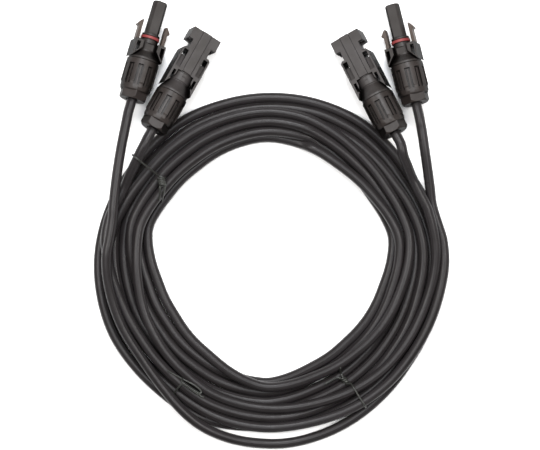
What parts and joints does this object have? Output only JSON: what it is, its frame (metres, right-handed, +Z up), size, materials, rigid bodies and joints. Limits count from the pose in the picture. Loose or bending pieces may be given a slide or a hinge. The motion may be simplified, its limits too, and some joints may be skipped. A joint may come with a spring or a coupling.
{
  "type": "solar cable connector",
  "caption": "Coiled pair of black photovoltaic extension leads with locking slim and sleeve connectors on their ends, held by wire ties.",
  "frame": {"origin": "on the floor plane, below the middle of the box round the four connectors", "axes": "+Y towards the connectors' mating ends, +X to the right with the coil nearest, +Z up from the surface the leads lie on"},
  "size_m": [0.2109, 0.2688, 0.0303],
  "materials": {
    "housing_plastic": "moulded dark grey polyphenylene, fine satin texture, slightly brown on the flanks",
    "nut_plastic": "moulded dark grey plastic, fine satin texture",
    "claw_plastic": "moulded black nylon",
    "cable_jacket": "extruded black cross-linked jacket, satin with long soft highlights",
    "red_seal": "red silicone, satin",
    "gland_rubber": "black silicone, matte",
    "tinned_copper": "turned copper with a bright tin plating",
    "spring_steel": "rolled stainless spring strip",
    "tie_plastic": "thin black plastic over wire"
  },
  "bodies": {
    "root": {"left_slim_housing": "housing_plastic", "left_slim_seal_ring": "red_seal", "left_slim_socket_contact": "tinned_copper", "left_slim_contact_spring": "spring_steel", "left_slim_conductor": "tinned_copper", "left_slim_gland_seal": "gland_rubber", "left_slim_cable": "cable_jacket", "left_sleeve_housing": "housing_plastic", "left_sleeve_pin_contact": "tinned_copper", "left_sleeve_contact_spring": "spring_steel", "left_sleeve_conductor": "tinned_copper", "left_sleeve_gland_seal": "gland_rubber", "left_sleeve_cable": "cable_jacket", "right_slim_housing": "housing_plastic", "right_slim_seal_ring": "red_seal", "right_slim_socket_contact": "tinned_copper", "right_slim_contact_spring": "spring_steel", "right_slim_conductor": "tinned_copper", "right_slim_gland_seal": "gland_rubber", "right_slim_cable": "cable_jacket", "right_sleeve_housing": "housing_plastic", "right_sleeve_pin_contact": "tinned_copper", "right_sleeve_contact_spring": "spring_steel", "right_sleeve_conductor": "tinned_copper", "right_sleeve_gland_seal": "gland_rubber", "right_sleeve_cable": "cable_jacket", "cable_coil": "cable_jacket", "wire_tie_upper_left": "tie_plastic", "wire_tie_lower_right": "tie_plastic", "wire_tie_lower_left": "tie_plastic"},
    "left_slim_claw": {"left_slim_gland_claw": "claw_plastic"},
    "left_slim_nut": {"left_slim_gland_nut": "nut_plastic"},
    "left_slim_latch_left": {"left_slim_latch_left": "housing_plastic"},
    "left_slim_latch_right": {"left_slim_latch_right": "housing_plastic"},
    "left_sleeve_claw": {"left_sleeve_gland_claw": "claw_plastic"},
    "left_sleeve_nut": {"left_sleeve_gland_nut": "nut_plastic"},
    "right_slim_claw": {"right_slim_gland_claw": "claw_plastic"},
    "right_slim_nut": {"right_slim_gland_nut": "nut_plastic"},
    "right_slim_latch_left": {"right_slim_latch_left": "housing_plastic"},
    "right_slim_latch_right": {"right_slim_latch_right": "housing_plastic"},
    "right_sleeve_claw": {"right_sleeve_gland_claw": "claw_plastic"},
    "right_sleeve_nut": {"right_sleeve_gland_nut": "nut_plastic"}
  },
  "joints": [
    {"name": "left_slim_claw_slide", "type": "slide", "parent": "root", "child": "left_slim_claw", "axis": [-0.2676, -0.9521, 0.1478], "range_m": [0, 0.00375]},
    {"name": "left_slim_nut_turn", "type": "hinge", "parent": "left_slim_claw", "child": "left_slim_nut", "pos_m": [-0.085, -0.01839, 0.01444], "axis": [-0.2676, -0.9521, 0.1478], "range_deg": [0, 900]},
    {"name": "left_slim_latch_left_flex", "type": "hinge", "parent": "root", "child": "left_slim_latch_left", "pos_m": [-0.08265, 0.01847, 0.01188], "axis": [-0.3668, -0.0412, -0.9294], "range_deg": [0, 11], "stiffness_Nm_per_rad": 0.05},
    {"name": "left_slim_latch_right_flex", "type": "hinge", "parent": "root", "child": "left_slim_latch_right", "pos_m": [-0.06804, 0.0135, 0.00634], "axis": [0.3668, 0.0412, 0.9294], "range_deg": [0, 11], "stiffness_Nm_per_rad": 0.05},
    {"name": "left_sleeve_claw_slide", "type": "slide", "parent": "root", "child": "left_sleeve_claw", "axis": [-0.4637, -0.8612, 0.2079], "range_m": [0, 0.00375]},
    {"name": "left_sleeve_nut_turn", "type": "hinge", "parent": "left_sleeve_claw", "child": "left_sleeve_nut", "pos_m": [-0.07221, -0.03629, 0.02213], "axis": [-0.4637, -0.8612, 0.2079], "range_deg": [0, 900]},
    {"name": "right_slim_claw_slide", "type": "slide", "parent": "root", "child": "right_slim_claw", "axis": [0.2242, -0.9633, 0.1478], "range_m": [0, 0.00375]},
    {"name": "right_slim_nut_turn", "type": "hinge", "parent": "right_slim_claw", "child": "right_slim_nut", "pos_m": [0.0846, -0.02069, 0.01444], "axis": [0.2242, -0.9633, 0.1478], "range_deg": [0, 900]},
    {"name": "right_slim_latch_left_flex", "type": "hinge", "parent": "root", "child": "right_slim_latch_left", "pos_m": [0.06909, 0.01193, 0.00634], "axis": [0.3646, -0.0578, -0.9294], "range_deg": [0, 11], "stiffness_Nm_per_rad": 0.05},
    {"name": "right_slim_latch_right_flex", "type": "hinge", "parent": "root", "child": "right_slim_latch_right", "pos_m": [0.08391, 0.01623, 0.01188], "axis": [-0.3646, 0.0578, 0.9294], "range_deg": [0, 11], "stiffness_Nm_per_rad": 0.05},
    {"name": "right_sleeve_claw_slide", "type": "slide", "parent": "root", "child": "right_sleeve_claw", "axis": [0.4303, -0.8784, 0.2079], "range_m": [0, 0.00375]},
    {"name": "right_sleeve_nut_turn", "type": "hinge", "parent": "right_sleeve_claw", "child": "right_sleeve_nut", "pos_m": [0.07169, -0.03859, 0.02213], "axis": [0.4303, -0.8784, 0.2079], "range_deg": [0, 900]}
  ],
  "couplings": [
    {"joint": "left_slim_nut_turn", "follows": "left_slim_claw_slide", "rad_per_m": 4188.8},
    {"joint": "left_sleeve_nut_turn", "follows": "left_sleeve_claw_slide", "rad_per_m": 4188.8},
    {"joint": "right_slim_nut_turn", "follows": "right_slim_claw_slide", "rad_per_m": 4188.8},
    {"joint": "right_sleeve_nut_turn", "follows": "right_sleeve_claw_slide", "rad_per_m": 4188.8}
  ]
}
